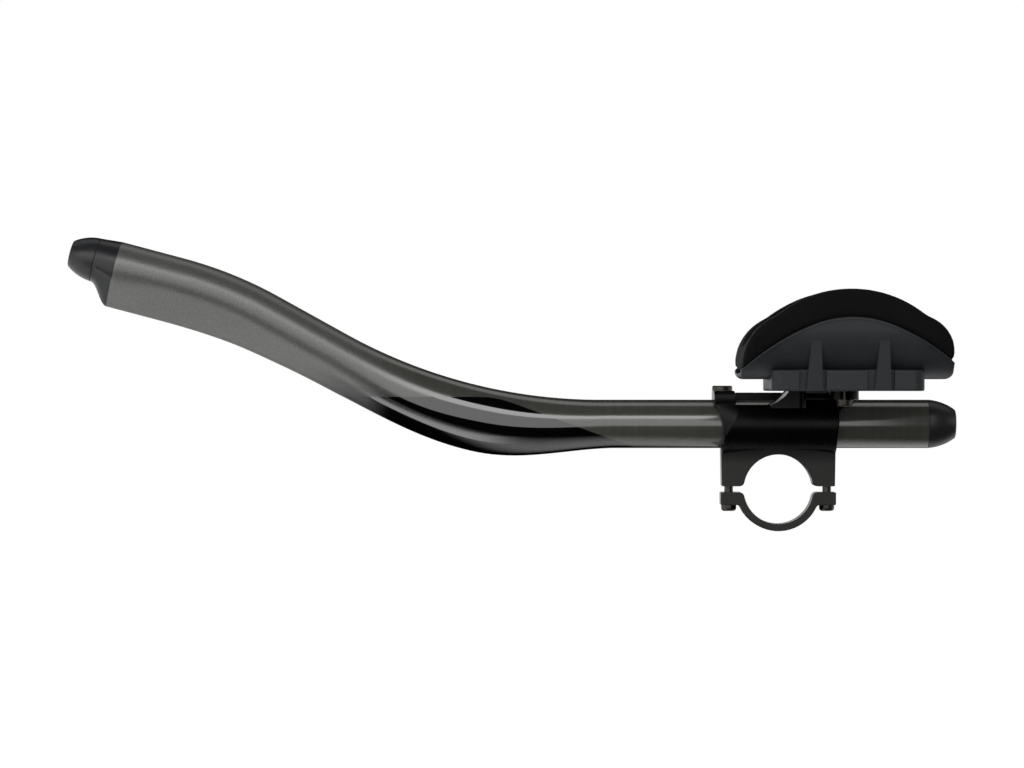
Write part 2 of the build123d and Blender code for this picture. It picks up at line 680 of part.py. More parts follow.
def cup_ribs():
    """The ribs that run up each side wall under the bowl, narrower towards the top."""
    half_width = BASE_WIDTH / 2
    rib_top = PLATFORM_Z + RIB_HEIGHT
    below = CUP_FLOOR + BOWL_RADIUS - rib_top
    wall = CUP_WIDTH / 2 - BOWL_RADIUS + math.sqrt(BOWL_RADIUS ** 2 - below ** 2)
    right = polygon(
        (half_width - CUP_WALL, PLATFORM_Z), (half_width, PLATFORM_Z), (wall, rib_top),
        (wall - CUP_WALL / 2, rib_top), (half_width - BOWL_RADIUS, CUP_INSIDE),
    )
    ribs = []
    for x in rib_places():
        low, high = RIB_WIDTH / 2, RIB_TOP_WIDTH / 2
        front_top, rear_top = x + RIB_LEAN - high, x + RIB_LEAN + high
        side = polygon(
            (x - low, PLATFORM_Z), (x + low, PLATFORM_Z), (rear_top, rib_top), (front_top, rib_top)
        )
        for outline in (right, mirror(right, about=Plane.YZ)):
            placed = Pos(-ARMREST_OFFSET, 0) * outline
            ribs.append(cross_prism(placed, x - low, x + low) & side_prism(side, -FAR, FAR))
    return ribs


def cup_base():
    """The moulded base below the cup, grooved beside each rib."""
    half_width = BASE_WIDTH / 2
    top = PLATFORM_Z + BASE_HEIGHT
    plan = Pos(ARMREST_X, -ARMREST_OFFSET) * RectangleRounded(BASE_LENGTH, BASE_WIDTH, BASE_CORNER)
    base = plan_prism(plan, PLATFORM_Z, top)
    base = fillet(base.edges().group_by(Axis.Z)[-1] + base.edges().group_by(Axis.Z)[0], BASE_EDGE)
    for x in rib_places():
        front, rear = x - RIB_WIDTH / 2 - GROOVE_FRONT, x + RIB_WIDTH / 2 + GROOVE_REAR
        for edge in (-ARMREST_OFFSET - half_width, -ARMREST_OFFSET + half_width):
            base -= block(front, rear, edge - GROOVE_DEPTH, edge + GROOVE_DEPTH, PLATFORM_Z, top)
    for rib in cup_ribs():
        base += rib
    return base


def rim_bead():
    """The bead along the arched rim of the cup, round on its outer edge."""
    proud = trough_section(CUP_WIDTH / 2 + BEAD_PROUD, CUP_FLOOR, BOWL_RADIUS)
    strip = side_prism(rim_side(0), -FAR, FAR) - side_prism(rim_side(-BEAD_HEIGHT), -FAR, FAR)
    bead = armrest_span(proud, 0) & strip
    crest = [face for face in bead.faces() if face.normal_at().Z > 0.5]
    edges = [edge for face in crest for edge in face.edges()]
    return fillet([edge for edge in edges if abs(edge.tangent_at(0.5).X) > 0.5], BEAD_EDGE)


def base_pockets():
    """The hollows in the underside of the base, between the rows of inserts."""
    half_width = INSERT_ROW_OFFSET - INSERT_DIAMETER / 2 - POCKET_WALL
    end = BASE_LENGTH / 2 - POCKET_WALL
    inner = (RIB_SPACING - POCKET_WALL) / 2
    outer = (RIB_SPACING + POCKET_WALL) / 2
    spans = [(-end, -outer), (-inner, inner), (outer, end)]
    pockets = []
    for start, stop in spans:
        pockets.append(block(
            ARMREST_X + start, ARMREST_X + stop,
            -ARMREST_OFFSET - half_width, -ARMREST_OFFSET + half_width,
            PLATFORM_Z, PLATFORM_Z + POCKET_DEPTH,
        ))
    return pockets


def armrest_cup():
    """The moulded cup: an arched trough on its ribbed base."""
    half_width = CUP_WIDTH / 2
    trough = armrest_span(trough_section(half_width, CUP_FLOOR, BOWL_RADIUS), 0)
    side = side_prism(rim_side(-BEAD_HEIGHT / 2), -FAR, FAR)
    side = fillet(side.edges().filter_by(Axis.Y).group_by(Axis.Z)[0], CUP_END_RADIUS)
    hollow = armrest_span(
        trough_section(half_width - CUP_WALL, CUP_INSIDE, BOWL_RADIUS - CUP_WALL), CUP_WALL
    )
    cup = (trough & side) + rim_bead() + cup_base() - hollow
    for pocket in base_pockets():
        cup -= pocket
    for x, y in insert_places():
        cup -= rod_z(INSERT_DIAMETER / 2, PLATFORM_Z, PLATFORM_Z + INSERT_LENGTH, x, y)
    return cup


def armrest_insert(x, y):
    """A brass threaded insert, pressed into the base from below."""
    insert = rod_z(INSERT_DIAMETER / 2, PLATFORM_Z, PLATFORM_Z + INSERT_LENGTH, x, y)
    return insert - rod_z((ARM_BOLT + THREAD_CLEARANCE) / 2, 0, FAR, x, y)


def armrest_washer(x):
    """The washer between the platform and its screw."""
    top = PLATFORM_BOTTOM
    washer = rod_z(WASHER_DIAMETER / 2, top - WASHER_THICKNESS, top, x, ARM_BOLT_Y)
    return washer - rod_z((ARM_BOLT + HOLE_CLEARANCE) / 2, 0, FAR, x, ARM_BOLT_Y)


def armrest_bolt(x):
    """A button-head screw from below, through the platform into an insert."""
    seat = PLATFORM_BOTTOM - WASHER_THICKNESS
    length = PLATFORM_Z + INSERT_LENGTH - HOLE_CLEARANCE - seat
    bolt = screw(ARM_BOLT, length, ARM_HEAD_DIAMETER, ARM_HEAD_HEIGHT)
    return Pos(x, ARM_BOLT_Y, seat) * bolt


def pad_side():
    """The side view of the pad: a high middle lobe, with a lower one at each end."""
    half = CUP_LENGTH / 2 - PAD_INSET
    front_lobe, rear_lobe = (PAD_LOBE_SHIFT + side * PAD_LOBE_LENGTH / 2 for side in (-1, 1))
    front_step, rear_step = front_lobe - PAD_STEP_LENGTH, rear_lobe + PAD_STEP_LENGTH
    step_z = PAD_SHOULDER - PAD_STEP_DROP
    front_end, rear_end = RIM_FRONT_END + PAD_GAP, RIM_REAR_END + PAD_GAP
    front_bulge = ((front_step - half - PAD_END_BULGE) / 2, (step_z + front_end) / 2 + PAD_END_BULGE)
    rear_bulge = ((rear_step + half + PAD_END_BULGE) / 2, (step_z + rear_end) / 2 + PAD_END_BULGE)
    outline = make_face([
        ThreePointArc((front_lobe, PAD_SHOULDER), (PAD_LOBE_SHIFT, PAD_TOP), (rear_lobe, PAD_SHOULDER)),
        Line((rear_lobe, PAD_SHOULDER), (rear_step, step_z)),
        ThreePointArc((rear_step, step_z), rear_bulge, (half, rear_end)),
        Line((half, rear_end), (half, PAD_BOTTOM)),
        Line((half, PAD_BOTTOM), (-half, PAD_BOTTOM)),
        Line((-half, PAD_BOTTOM), (-half, front_end)),
        ThreePointArc((-half, front_end), front_bulge, (front_step, step_z)),
        Line((front_step, step_z), (front_lobe, PAD_SHOULDER)),
    ])
    return Pos(ARMREST_X, 0) * outline


def armrest_pad():
    """The foam pad: it lines the cup, and its edge laps over the arched rim."""
    outer = CUP_WIDTH / 2 - PAD_INSET
    inner = CUP_WIDTH / 2 - CUP_WALL - PAD_GAP
    view = side_prism(pad_side(), -FAR, FAR)
    above_rim = view - side_prism(rim_side(PAD_GAP), -FAR, FAR)
    lining = armrest_span(trough_section(inner, PAD_BOTTOM, BOWL_RADIUS - CUP_WALL), 0) & view
    lip = armrest_span(trough_section(outer, CUP_FLOOR, BOWL_RADIUS), 0) & above_rim
    arm_space = trough_section(outer - PAD_SIDE, PAD_BOTTOM + PAD_THICKNESS, PAD_TROUGH_RADIUS)
    return lining + lip - armrest_span(arm_space, CUP_WALL)


def pad_strip(x):
    """A hook-and-loop strip between the cup's floor and the pad."""
    half = STRIP_LENGTH / 2
    side = STRIP_WIDTH / 2
    return block(
        x - half, x + half, -ARMREST_OFFSET - side, -ARMREST_OFFSET + side, CUP_INSIDE, PAD_BOTTOM
    )


def all_parts():
    """Every piece by its name."""
    parts = {
        "extension_tube": extension_tube(),
        "front_collar": front_collar(),
        "front_end_plug": front_end_plug(),
        "rear_end_plug": rear_end_plug(),
        "bracket_body": bracket_body(),
        "clamp_cap": clamp_cap(),
        "clamp_cap_bolt": clamp_cap_bolt(),
        "handlebar_strap": handlebar_strap(),
        "strap_bolt_front": strap_bolt(-STRAP_BOLT_X),
        "strap_bolt_rear": strap_bolt(STRAP_BOLT_X),
        "armrest_cup": armrest_cup(),
        "armrest_pad": armrest_pad(),
        "pad_strip_front": pad_strip(ARMREST_X - STRIP_SPACING / 2),
        "pad_strip_rear": pad_strip(ARMREST_X + STRIP_SPACING / 2),
    }
    for name, x in (("front", ARM_BOLT_FRONT_X), ("rear", ARM_BOLT_REAR_X)):
        parts["armrest_bolt_" + name] = armrest_bolt(x)
        parts["armrest_washer_" + name] = armrest_washer(x)
    for number, place in enumerate(insert_places(), start=1):
        parts[f"armrest_insert_{number}"] = armrest_insert(*place)
    return parts


os.makedirs("parts", exist_ok=True)
for part_name, part in all_parts().items():
    export_step(part, f"parts/{part_name}.step")
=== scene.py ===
"""Looks of the clip-on aero bar unit: carbon extension, black bracket, moulded armrest and foam pad."""
import bpy
import bmesh
import json
import math
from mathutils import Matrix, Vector


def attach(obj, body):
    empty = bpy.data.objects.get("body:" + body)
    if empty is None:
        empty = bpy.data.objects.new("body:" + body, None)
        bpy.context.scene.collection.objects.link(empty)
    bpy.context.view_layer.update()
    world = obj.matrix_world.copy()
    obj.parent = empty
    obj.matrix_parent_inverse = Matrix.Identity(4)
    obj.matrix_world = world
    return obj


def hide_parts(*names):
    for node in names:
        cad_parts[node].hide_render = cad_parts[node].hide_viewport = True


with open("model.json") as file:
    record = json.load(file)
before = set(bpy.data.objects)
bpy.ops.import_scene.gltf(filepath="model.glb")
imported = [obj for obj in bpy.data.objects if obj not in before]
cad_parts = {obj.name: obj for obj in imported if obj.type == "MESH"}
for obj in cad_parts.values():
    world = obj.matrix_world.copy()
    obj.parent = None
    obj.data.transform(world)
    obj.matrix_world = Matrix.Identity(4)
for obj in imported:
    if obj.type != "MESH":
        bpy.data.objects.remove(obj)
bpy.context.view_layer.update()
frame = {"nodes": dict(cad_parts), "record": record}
nodes = frame["nodes"]
MM = 0.001

# Camera: a long lens level with the unit, square to its outer side
IMAGE_WIDTH = 1024
FOCAL_PIXELS = 3922
SENSOR_WIDTH = 36.0
CAMERA_PLACE = Vector((-0.1219, -1.8, 0.04818))

# Extension: the axis, section and keel of the CAD tube, in metres
TUBE_RADIUS = 11.1 * MM
TUBE_WALL = 2.0 * MM
TUBE_REAR = 68.6 * MM
AXIS_Z = 29.9 * MM
BEND_START = 81.3 * MM
BEND_RADIUS = 252.0 * MM
BEND_ANGLE = math.radians(29.0)
BEND_RUN = 35.3 * MM
GRIP_BEND_RADIUS = 180.0 * MM
GRIP_ANGLE = math.radians(14.9)
GRIP_LENGTH = 28.9 * MM
KEEL_PLACES = [
    (-7.0 * MM, (0.0, 0.0, 0.0)),
    (55.0 * MM, (7.9 * MM, 0.35, 0.62)),
    (121.0 * MM, (4.0 * MM, 0.35, 0.66)),
    (205.0 * MM, (8.3 * MM, 0.72, 0.82)),
]
WAIST_PLACES = [(50.0 * MM, (0.5,)), (88.0 * MM, (0.7,)), (128.0 * MM, (0.0,))]
FLAT_PLACES = [(92.0 * MM, (0.0,)), (128.0 * MM, (1.0,)), (216.0 * MM, (1.0,)), (236.0 * MM, (0.0,))]
RING_POINTS = 96
RING_STEP = 2.0 * MM
SEAM_ROUND = 0.3 * MM

# Finish of the tube: the black wedge, its nose up the keel, and the change from matt grip to gloss
WEDGE_CREST_Z = 42.3 * MM
WEDGE_TAIL_X, WEDGE_TAIL_Z, WEDGE_FALL = -74.5 * MM, 22.3 * MM, -0.365
WEDGE_ROUND = 4.0 * MM
WEDGE_EDGE = 0.1 * MM
NOSE_X, NOSE_FALL, NOSE_EDGE = -178.0 * MM, -0.36, 1.5 * MM
NOSE_END, NOSE_FULL = -222.0 * MM, -184.0 * MM
GRIP_MATT, GRIP_GLOSS = -205.0 * MM, -155.0 * MM
FIBRE_LEAN = math.radians(-27)
WEDGE_BLACK = (0.0012, 0.0013, 0.0015, 1.0)

# Bracket: the height at which the lighter legs turn into the barrel, whose colour is painted near black as
# shade under the armrest
LEGS_TOP, BARREL_SHADE_BOTTOM = 10.0 * MM, 18.0 * MM

# Armrest: the middle of the cup, the crown of its rim and the pad's trough
ARMREST_Y = -57.0 * MM
RIM_PEAK_X = 26.7 * MM
RIM_TOP = 77.5 * MM
RIM_FALL = 0.0102 / MM
TROUGH_HALF = 23.1 * MM
TROUGH_FLOOR = 64.0 * MM
PAD_VOXEL = 1.1 * MM
SWELL_LIMIT = 0.9 * MM
SWELL_FRAMES = 16

# Studio
FLOOR_Z = -0.2
FLOOR_HALF = 4.0
WHITE = (1.0, 1.0, 1.0, 1.0)
BLACK = (0.0, 0.0, 0.0, 1.0)
CARD_LIFT = 0.001
STRIP_GLOW = 2.6

# Card fades: solid and clear places along the slanted line, its slant, solid and clear X at the end
LOW_FADE = (-0.15, 0.05, -0.6, FLOOR_HALF, FLOOR_HALF + 1.0)
REAR_FADE = (0.3, 0.14, -1.4, -0.3, -0.37)
STRIP_FADE = (-0.1, -0.2, 0.0, -0.2, -0.12)


def deselect_all():
    """Leaves object mode with nothing selected."""
    if bpy.context.object and bpy.context.object.mode != "OBJECT":
        bpy.ops.object.mode_set(mode="OBJECT")
    bpy.ops.object.select_all(action="DESELECT")


def pick(piece):
    """Makes one piece the only selected and active one."""
    deselect_all()
    piece.select_set(True)
    bpy.context.view_layer.objects.active = piece


def apply_modifier(piece, modifier):
    """Applies a modifier of a piece to its mesh."""
    pick(piece)
    bpy.ops.object.modifier_apply(modifier=modifier.name)


# Material helpers
def finish_base(name):
    """A new node material with its tree and its shader."""
    material = bpy.data.materials.new(name)
    material.use_nodes = True
    tree = material.node_tree
    return material, tree, tree.nodes["Principled BSDF"]


def add_node(tree, kind, settings=None, values=None):
    """A node with its settings and with plain values on its inputs."""
    made = tree.nodes.new(kind)
    for key, value in (settings or {}).items():
        setattr(made, key, value)
    for key, value in (values or {}).items():
        made.inputs[key].default_value = value
    return made


def object_place(tree):
    """The Object coordinate output."""
    return add_node(tree, "ShaderNodeTexCoord").outputs["Object"]


def sums(tree, operation, *terms):
    """A Math node on sockets and numbers."""
    made = add_node(tree, "ShaderNodeMath", {"operation": operation})
    for index, term in enumerate(terms):
        if isinstance(term, (int, float)):
            made.inputs[index].default_value = term
        else:
            tree.links.new(term, made.inputs[index])
    return made.outputs[0]


def stretched_noise(tree, place, turn, scale, size, detail):
    """Noise read through a turned and stretched Mapping."""
    mapping = add_node(tree, "ShaderNodeMapping", {}, {"Rotation": turn, "Scale": scale})
    tree.links.new(place, mapping.inputs["Vector"])
    noise = add_node(tree, "ShaderNodeTexNoise", {}, {"Scale": size, "Detail": detail})
    tree.links.new(mapping.outputs["Vector"], noise.inputs["Vector"])
    return noise.outputs["Fac"]


def spread(tree, value, low, high, to_low, to_high, smooth=False):
    """A Map Range from one span to another."""
    kind = "SMOOTHSTEP" if smooth else "LINEAR"
    made = add_node(
        tree, "ShaderNodeMapRange", {"interpolation_type": kind},
        {"From Min": low, "From Max": high, "To Min": to_low, "To Max": to_high},
    )
    tree.links.new(value, made.inputs["Value"])
    return made.outputs["Result"]


def blend_colours(tree, share, first, second):
    """A colour Mix of two sockets or plain colours."""
    mix = add_node(tree, "ShaderNodeMix", {"data_type": "RGBA"})
    tree.links.new(share, mix.inputs["Factor"])
    for socket, colour in ((mix.inputs[6], first), (mix.inputs[7], second)):
        if isinstance(colour, tuple):
            socket.default_value = colour
        else:
            tree.links.new(colour, socket)
    return mix.outputs[2]


def blend_values(tree, share, first, second):
    """A float Mix of two sockets or numbers."""
    mix = add_node(tree, "ShaderNodeMix", {"data_type": "FLOAT"})
    tree.links.new(share, mix.inputs[0])
    for socket, value in ((mix.inputs[2], first), (mix.inputs[3], second)):
        if isinstance(value, (int, float)):
            socket.default_value = value
        else:
            tree.links.new(value, socket)
    return mix.outputs[0]


def raise_grain(tree, shader, height, strength, distance):
    """A Bump from a height to the shader's normal."""
    bump = add_node(tree, "ShaderNodeBump", {}, {"Strength": strength, "Distance": distance})
    tree.links.new(height, bump.inputs["Height"])
    tree.links.new(bump.outputs["Normal"], shader.inputs["Normal"])


# Finishes
def carbon_finish():
    """Carbon lay-up: matt speckle at the grip, fine fibre at the back, a black wedge in the dip."""
    material, tree, shader = finish_base("carbon_layup")
    place = object_place(tree)
    axes = add_node(tree, "ShaderNodeSeparateXYZ")
    tree.links.new(place, axes.inputs[0])
    along, up = axes.outputs["X"], axes.outputs["Z"]

    slope_line = sums(tree, "MULTIPLY_ADD", along, WEDGE_FALL, WEDGE_TAIL_Z - WEDGE_FALL * WEDGE_TAIL_X)
    edge = sums(tree, "SMOOTH_MIN", slope_line, WEDGE_CREST_Z, WEDGE_ROUND)
    wedge = spread(tree, sums(tree, "SUBTRACT", edge, up), -WEDGE_EDGE, WEDGE_EDGE, 0.0, 1.0)
    nose_line = sums(tree, "MULTIPLY_ADD", along, NOSE_FALL, WEDGE_CREST_Z - NOSE_FALL * NOSE_X)
    under = spread(tree, sums(tree, "SUBTRACT", nose_line, up), -NOSE_EDGE, NOSE_EDGE, 0.0, 1.0, True)
    nose = sums(tree, "MULTIPLY", under, spread(tree, along, NOSE_END, NOSE_FULL, 0.0, 1.0, True))
    black = sums(tree, "MAXIMUM", wedge, nose)

    grip = spread(tree, along, GRIP_MATT, GRIP_GLOSS, 1.0, 0.0, True)
    lean = (0, FIBRE_LEAN, 0)
    tow = stretched_noise(tree, place, lean, (1.0, 0.05, 0.03), 420.0, 2.0)
    fibre = stretched_noise(tree, place, lean, (1.0, 0.08, 0.05), 2400.0, 2.0)
    speckle = stretched_noise(tree, place, (0, 0, 0), (1.0, 1.0, 1.0), 1700.0, 3.0)
    strands = sums(tree, "MULTIPLY_ADD", fibre, 0.35, sums(tree, "MULTIPLY", tow, 0.65))
    fibre_colour = blend_colours(
        tree, spread(tree, strands, 0.3, 0.7, 0.0, 1.0), (0.039, 0.040, 0.034, 1), (0.048, 0.049, 0.042, 1)
    )
    grip_colour = blend_colours(
        tree, spread(tree, speckle, 0.35, 0.65, 0.0, 1.0), (0.040, 0.041, 0.036, 1), (0.078, 0.079, 0.072, 1)
    )
    bare = blend_colours(tree, grip, fibre_colour, grip_colour)
    colour = blend_colours(tree, black, bare, WEDGE_BLACK)
    tree.links.new(colour, shader.inputs["Base Color"])
    bare_rough = blend_values(tree, grip, 0.17, 0.36)
    tree.links.new(blend_values(tree, wedge, bare_rough, 0.06), shader.inputs["Roughness"])
    shader.inputs["IOR"].default_value = 1.8
    grain = blend_values(tree, grip, fibre, speckle)
    flat = sums(tree, "SUBTRACT", 1.0, wedge)
    raise_grain(tree, shader, sums(tree, "MULTIPLY", grain, flat), 0.05, 0.00005)
    return material


def moulding_finish(name, dark, light, rough_low, rough_high, grain_size, ior):
    """Fine-grained moulded plastic."""
    material, tree, shader = finish_base(name)
    place = object_place(tree)
    grain = stretched_noise(tree, place, (0, 0, 0), (1, 1, 1), grain_size, 2.0)
    cloud = stretched_noise(tree, place, (0, 0, 0), (1, 1, 1), 60.0, 3.0)
    tree.links.new(blend_colours(tree, cloud, dark, light), shader.inputs["Base Color"])
    tree.links.new(spread(tree, cloud, 0.3, 0.7, rough_low, rough_high), shader.inputs["Roughness"])
    shader.inputs["IOR"].default_value = ior
    raise_grain(tree, shader, grain, 0.18, 0.00006)
    return material


def anodised_finish():
    """Black anodised forging with a fine blasted surface, its barrel painted darker than its legs as shade.
    """
    material, tree, shader = finish_base("black_anodised")
    place = object_place(tree)
    blast = stretched_noise(tree, place, (0, 0, 0), (1, 1, 1), 2600.0, 2.0)
    cloud = stretched_noise(tree, place, (0, 0, 0), (1, 1, 1), 70.0, 3.0)
    axes = add_node(tree, "ShaderNodeSeparateXYZ")
    tree.links.new(place, axes.inputs[0])
    # painted shade: above the legs the colour fades to near black, standing in for the shade on the barrel
    # under the armrest
    barrel_painted_shade = spread(tree, axes.outputs["Z"], LEGS_TOP, BARREL_SHADE_BOTTOM, 0.0, 1.0, True)
    legs = blend_colours(tree, cloud, (0.019, 0.0188, 0.0178, 1), (0.026, 0.0257, 0.0243, 1))
    colour = blend_colours(tree, barrel_painted_shade, legs, (0.0012, 0.0013, 0.0015, 1))
    tree.links.new(colour, shader.inputs["Base Color"])
    tree.links.new(spread(tree, cloud, 0.3, 0.7, 0.24, 0.32), shader.inputs["Roughness"])
    shader.inputs["IOR"].default_value = 1.2
    raise_grain(tree, shader, blast, 0.12, 0.00003)
    return material


def steel_finish():
    """Blackened screw steel with turned streaks of warm grey."""
    material, tree, shader = finish_base("blackened_steel")
    place = object_place(tree)
    turned = stretched_noise(tree, place, (0, 0, 0), (1, 1, 6), 500.0, 2.0)
    colour = blend_colours(tree, turned, (0.03, 0.028, 0.024, 1), (0.09, 0.083, 0.07, 1))
    tree.links.new(colour, shader.inputs["Base Color"])
    shader.inputs["Metallic"].default_value = 1.0
    tree.links.new(spread(tree, turned, 0.3, 0.7, 0.28, 0.42), shader.inputs["Roughness"])
    raise_grain(tree, shader, turned, 0.1, 0.00004)
    return material


def brass_finish():
    """Turned brass of the threaded inserts."""
    material, tree, shader = finish_base("turned_brass")
    place = object_place(tree)
    turned = stretched_noise(tree, place, (0, 0, 0), (1, 1, 8), 700.0, 2.0)
    colour = blend_colours(tree, turned, (0.52, 0.36, 0.12, 1), (0.72, 0.54, 0.24, 1))
    tree.links.new(colour, shader.inputs["Base Color"])
    shader.inputs["Metallic"].default_value = 1.0
    tree.links.new(spread(tree, turned, 0.3, 0.7, 0.22, 0.36), shader.inputs["Roughness"])
    return material


def foam_finish():
    """Closed-cell foam with a short brushed face."""
    material, tree, shader = finish_base("pad_foam")
    place = object_place(tree)
    cells = stretched_noise(tree, place, (0, 0, 0), (1, 1, 1), 2200.0, 3.0)
    cloud = stretched_noise(tree, place, (0, 0, 0), (1, 1, 1), 90.0, 2.0)
    colour = blend_colours(tree, cloud, (0.0016, 0.0017, 0.0019, 1), (0.003, 0.0031, 0.0034, 1))
    tree.links.new(colour, shader.inputs["Base Color"])
    tree.links.new(spread(tree, cells, 0.3, 0.7, 0.72, 0.9), shader.inputs["Roughness"])
    shader.inputs["IOR"].default_value = 1.2
    shader.inputs["Sheen Weight"].default_value = 0.06
    shader.inputs["Sheen Roughness"].default_value = 0.5
    shader.inputs["Sheen Tint"].default_value = (0.35, 0.36, 0.4, 1)
    raise_grain(tree, shader, cells, 0.35, 0.00012)
    return material


def tape_finish():
    """Hook-and-loop tape."""
    material, tree, shader = finish_base("hook_and_loop")
    place = object_place(tree)
    loops = stretched_noise(tree, place, (0, 0, 0), (1, 1, 1), 1500.0, 4.0)
    colour = blend_colours(tree, loops, (0.01, 0.01, 0.01, 1), (0.04, 0.04, 0.042, 1))
    tree.links.new(colour, shader.inputs["Base Color"])
    shader.inputs["Roughness"].default_value = 0.95
    raise_grain(tree, shader, loops, 0.6, 0.0003)
    return material


FINISHES = {
    "carbon": carbon_finish(),
    "end_moulding": moulding_finish(
        "end_moulding", (0.009, 0.0093, 0.0105, 1), (0.014, 0.0144, 0.016, 1), 0.33, 0.41, 1800.0, 1.42
    ),
    "bracket_alloy": anodised_finish(),
    "bolt_steel": steel_finish(),
    "cup_plastic": moulding_finish(
        "cup_plastic", (0.0155, 0.017, 0.0195, 1), (0.021, 0.0225, 0.0255, 1), 0.40, 0.52, 2000.0, 1.28
    ),
    "pad_foam": foam_finish(),
    "hook_and_loop": tape_finish(),
    "insert_brass": brass_finish(),
}


def dress_nodes():
    """Gives every CAD node the finish of its slot."""
    slots = {entry["node"]: entry["material_slot"] for entry in frame["record"]["subparts"]}
    for name, piece in nodes.items():
        piece.data.materials.clear()
        piece.data.materials.append(FINISHES[slots[name]])


# Carbon tube: a clean sweep along the CAD tube's own axis
def ease(share):
    """A smooth step from 0 to 1."""
    return (1 - math.cos(math.pi * share)) / 2


def eased(places, distance):
    """The values at a distance past the start of the bend, eased from place to place."""
    if distance <= places[0][0]:
        return places[0][1]
    for (start, values0), (end, values1) in zip(places, places[1:]):
        if distance <= end:
            share = ease((distance - start) / (end - start))
            return tuple(value0 + (value1 - value0) * share for value0, value1 in zip(values0, values1))
    return places[-1][1]


def bend_lengths():
    """The lengths along the axis of the bend, the run after it, the bend back and the grip."""
    back = GRIP_BEND_RADIUS * (BEND_ANGLE - GRIP_ANGLE)
    return BEND_RADIUS * BEND_ANGLE, BEND_RUN, back, GRIP_LENGTH


def axis_at(distance):
    """The X, Z and slope of the axis at a distance past the start of the bend."""
    bend, run, back, _ = bend_lengths()
    turned = min(max(distance, 0), bend) / BEND_RADIUS
    straight = min(max(distance - bend, 0), run)
    slope = turned - min(max(distance - bend - run, 0), back) / GRIP_BEND_RADIUS
    last = max(distance - bend - run - back, 0)
    x = -BEND_START - min(distance, 0) - BEND_RADIUS * math.sin(turned) - straight * math.cos(turned)
    x -= GRIP_BEND_RADIUS * (math.sin(turned) - math.sin(slope)) + last * math.cos(slope)
    z = AXIS_Z + BEND_RADIUS * (1 - math.cos(turned)) + straight * math.sin(turned)
    z += GRIP_BEND_RADIUS * (math.cos(slope) - math.cos(turned)) + last * math.sin(slope)
    return x, z, slope


def keel_flank(keel, taper, share):
    """A point on one side of the keel: down the round, along the straight flank and round the edge."""
    edge = TUBE_RADIUS * (1 - taper)
    drop = TUBE_RADIUS + keel - edge
    lean = math.asin((TUBE_RADIUS - edge) / drop) if keel else math.pi / 2
    round_length, flank_length = TUBE_RADIUS * lean, drop * math.cos(lean)
    edge_length = edge * (math.pi / 2 - lean)
    along = share * (round_length + flank_length + edge_length)
    if along <= round_length:
        angle = along / TUBE_RADIUS
        return TUBE_RADIUS * math.cos(angle), -TUBE_RADIUS * math.sin(angle)
    along -= round_length
    if along <= flank_length:
        side = TUBE_RADIUS * math.cos(lean) - along * math.sin(lean)
        return side, -TUBE_RADIUS * math.sin(lean) - along * math.cos(lean)
    angle = lean + (along - flank_length) / edge
    return edge * math.cos(angle), -drop - edge * math.sin(angle)


def ring_point(distance, turn):
    """The point of the section at a turn round it, 0 at the inner side and a quarter at the top."""
    x, z, slope = axis_at(distance)
    keel, round_taper, flank_taper = eased(KEEL_PLACES, distance)
    waist = keel * eased(WAIST_PLACES, distance)[0]
    side, rise = TUBE_RADIUS * math.cos(turn), (TUBE_RADIUS + waist) * math.sin(turn)
    if turn < 0:
        quarter = math.pi / 2
        inner = turn > -quarter
        share = -turn / quarter if inner else 2 + turn / quarter
        flat = eased(FLAT_PLACES, distance)[0]
        flank_side, flank_rise = keel_flank(keel - waist, flank_taper, share)
        side *= 1 - round_taper * math.sin(turn) ** 2
        side += ((flank_side if inner else -flank_side) - side) * flat
        rise = (TUBE_RADIUS + keel - waist) * math.sin(turn)
        rise += (flank_rise - rise) * flat
    rise -= waist
    return Vector((x + rise * math.sin(slope), side, z + rise * math.cos(slope)))


def make_tube():
    """The carbon tube: one ring, extruded from station to station and given its wall."""
    deselect_all()
    bpy.ops.mesh.primitive_circle_add(
        vertices=RING_POINTS, radius=TUBE_RADIUS, location=(TUBE_REAR, 0, AXIS_Z),
        rotation=(0, math.radians(90), 0),
    )
    tube = bpy.context.object
    tube.name = "carbon_tube"
    bpy.ops.object.transform_apply(location=True, rotation=True, scale=True)
    bpy.ops.object.mode_set(mode="EDIT")
    bpy.ops.mesh.select_all(action="SELECT")
    ring = bmesh.from_edit_mesh(tube.data)
    turns = ring.verts.layers.float.new("turn")
    for point in ring.verts:
        point[turns] = math.atan2(point.co.z - AXIS_Z, point.co.y)
    bmesh.update_edit_mesh(tube.data)
    start, end = KEEL_PLACES[0][0], sum(bend_lengths())
    count = math.ceil((end - start) / RING_STEP)
    for step in range(count + 1):
        bpy.ops.mesh.extrude_region_move()
        ring = bmesh.from_edit_mesh(tube.data)
        turns = ring.verts.layers.float["turn"]
        for point in ring.verts:
            if point.select:
                point.co = ring_point(start + (end - start) * step / count, point[turns])
        bmesh.update_edit_mesh(tube.data)
    bpy.ops.mesh.select_all(action="SELECT")
    bpy.ops.mesh.normals_make_consistent(inside=False)
    bpy.ops.object.mode_set(mode="OBJECT")
    wall = tube.modifiers.new("wall", "SOLIDIFY")
    wall.thickness = TUBE_WALL
    wall.offset = -1.0
    apply_modifier(tube, wall)
    seam = tube.modifiers.new("seam", "BEVEL")
    seam.width = SEAM_ROUND
    seam.segments = 2
    seam.limit_method = "ANGLE"
    seam.angle_limit = math.radians(60)
    apply_modifier(tube, seam)
    bpy.ops.object.shade_smooth_by_angle(angle=math.radians(35))
    tube.data.materials.clear()
    tube.data.materials.append(FINISHES["carbon"])
    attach(tube, "root")
    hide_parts("extension_tube")


# Foam pad
def rim_height(x):
    """The height of the cup's arched rim at an X, to about a millimetre."""
    return RIM_TOP - RIM_FALL * (x - RIM_PEAK_X) ** 2


